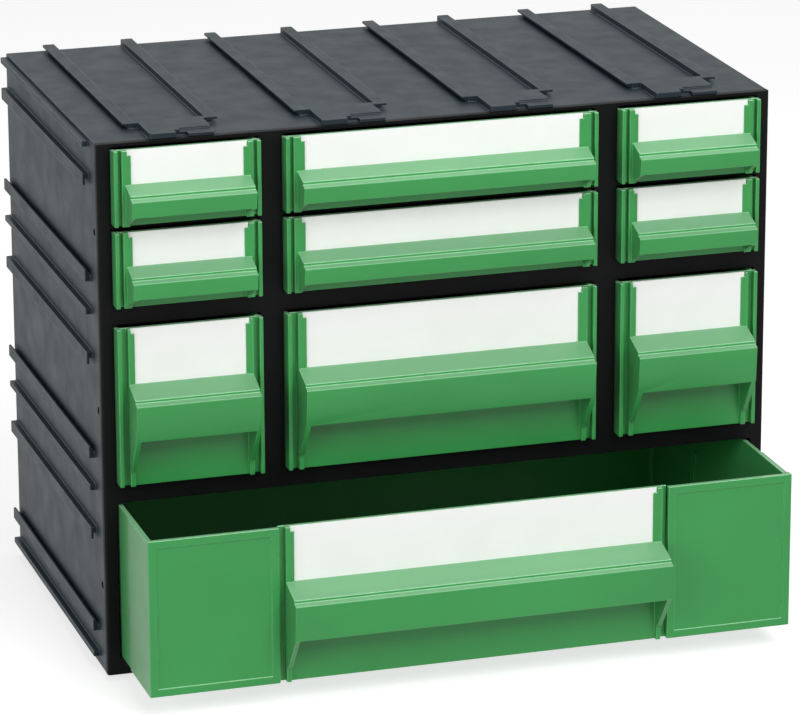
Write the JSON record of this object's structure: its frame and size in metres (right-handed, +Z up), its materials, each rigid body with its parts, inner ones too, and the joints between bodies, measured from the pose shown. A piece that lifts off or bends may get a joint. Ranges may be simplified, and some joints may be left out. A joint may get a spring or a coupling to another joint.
{
  "type": "parts bin cabinet",
  "caption": "Stackable cabinet with a dark ribbed housing and green sliding drawers, each with a white label card over a wide hooded pull; the full-width bottom drawer stands part open.",
  "frame": {"origin": "middle of the housing's width and depth, on its resting plane, under the base's middle rib", "axes": "+X to the right as seen from the front, +Y to the back, +Z up; drawers open towards -Y"},
  "size_m": [0.229, 0.176, 0.181],
  "materials": {
    "shell_grey": "satin",
    "frame_black": "satin",
    "drawer_green": "semi-gloss",
    "label_card": "matte paper"
  },
  "bodies": {
    "housing": {"front_frame": "frame_black", "top_panel": "shell_grey", "base_panel": "shell_grey", "left_panel": "shell_grey", "right_panel": "shell_grey", "back_panel": "shell_grey", "partition_left": "frame_black", "partition_right": "frame_black", "shelf_lower": "frame_black", "shelf_middle_left": "frame_black", "shelf_upper_left": "frame_black", "shelf_middle_middle": "frame_black", "shelf_upper_middle": "frame_black", "shelf_middle_right": "frame_black", "shelf_upper_right": "frame_black"},
    "drawer_tall_left_body": {"drawer_tall_left": "drawer_green", "label_tall_left": "label_card"},
    "drawer_tall_middle_body": {"drawer_tall_middle": "drawer_green", "label_tall_middle": "label_card"},
    "drawer_tall_right_body": {"drawer_tall_right": "drawer_green", "label_tall_right": "label_card"},
    "drawer_upper_left_body": {"drawer_upper_left": "drawer_green", "label_upper_left": "label_card"},
    "drawer_upper_middle_body": {"drawer_upper_middle": "drawer_green", "label_upper_middle": "label_card"},
    "drawer_upper_right_body": {"drawer_upper_right": "drawer_green", "label_upper_right": "label_card"},
    "drawer_top_left_body": {"drawer_top_left": "drawer_green", "label_top_left": "label_card"},
    "drawer_top_middle_body": {"drawer_top_middle": "drawer_green", "label_top_middle": "label_card"},
    "drawer_top_right_body": {"drawer_top_right": "drawer_green", "label_top_right": "label_card"},
    "drawer_bottom_body": {"drawer_bottom": "drawer_green", "label_bottom": "label_card"}
  },
  "joints": [
    {"name": "tall_left_slide", "type": "slide", "parent": "housing", "child": "drawer_tall_left_body", "axis": [0, -1, 0], "range_m": [0, 0.0994]},
    {"name": "tall_middle_slide", "type": "slide", "parent": "housing", "child": "drawer_tall_middle_body", "axis": [0, -1, 0], "range_m": [0, 0.0994]},
    {"name": "tall_right_slide", "type": "slide", "parent": "housing", "child": "drawer_tall_right_body", "axis": [0, -1, 0], "range_m": [0, 0.0994]},
    {"name": "upper_left_slide", "type": "slide", "parent": "housing", "child": "drawer_upper_left_body", "axis": [0, -1, 0], "range_m": [0, 0.0994]},
    {"name": "upper_middle_slide", "type": "slide", "parent": "housing", "child": "drawer_upper_middle_body", "axis": [0, -1, 0], "range_m": [0, 0.0994]},
    {"name": "upper_right_slide", "type": "slide", "parent": "housing", "child": "drawer_upper_right_body", "axis": [0, -1, 0], "range_m": [0, 0.0994]},
    {"name": "top_left_slide", "type": "slide", "parent": "housing", "child": "drawer_top_left_body", "axis": [0, -1, 0], "range_m": [0, 0.0994]},
    {"name": "top_middle_slide", "type": "slide", "parent": "housing", "child": "drawer_top_middle_body", "axis": [0, -1, 0], "range_m": [0, 0.0994]},
    {"name": "top_right_slide", "type": "slide", "parent": "housing", "child": "drawer_top_right_body", "axis": [0, -1, 0], "range_m": [0, 0.0994]},
    {"name": "bottom_slide", "type": "slide", "parent": "housing", "child": "drawer_bottom_body", "axis": [0, -1, 0], "range_m": [-0.0335, 0.0659]}
  ]
}
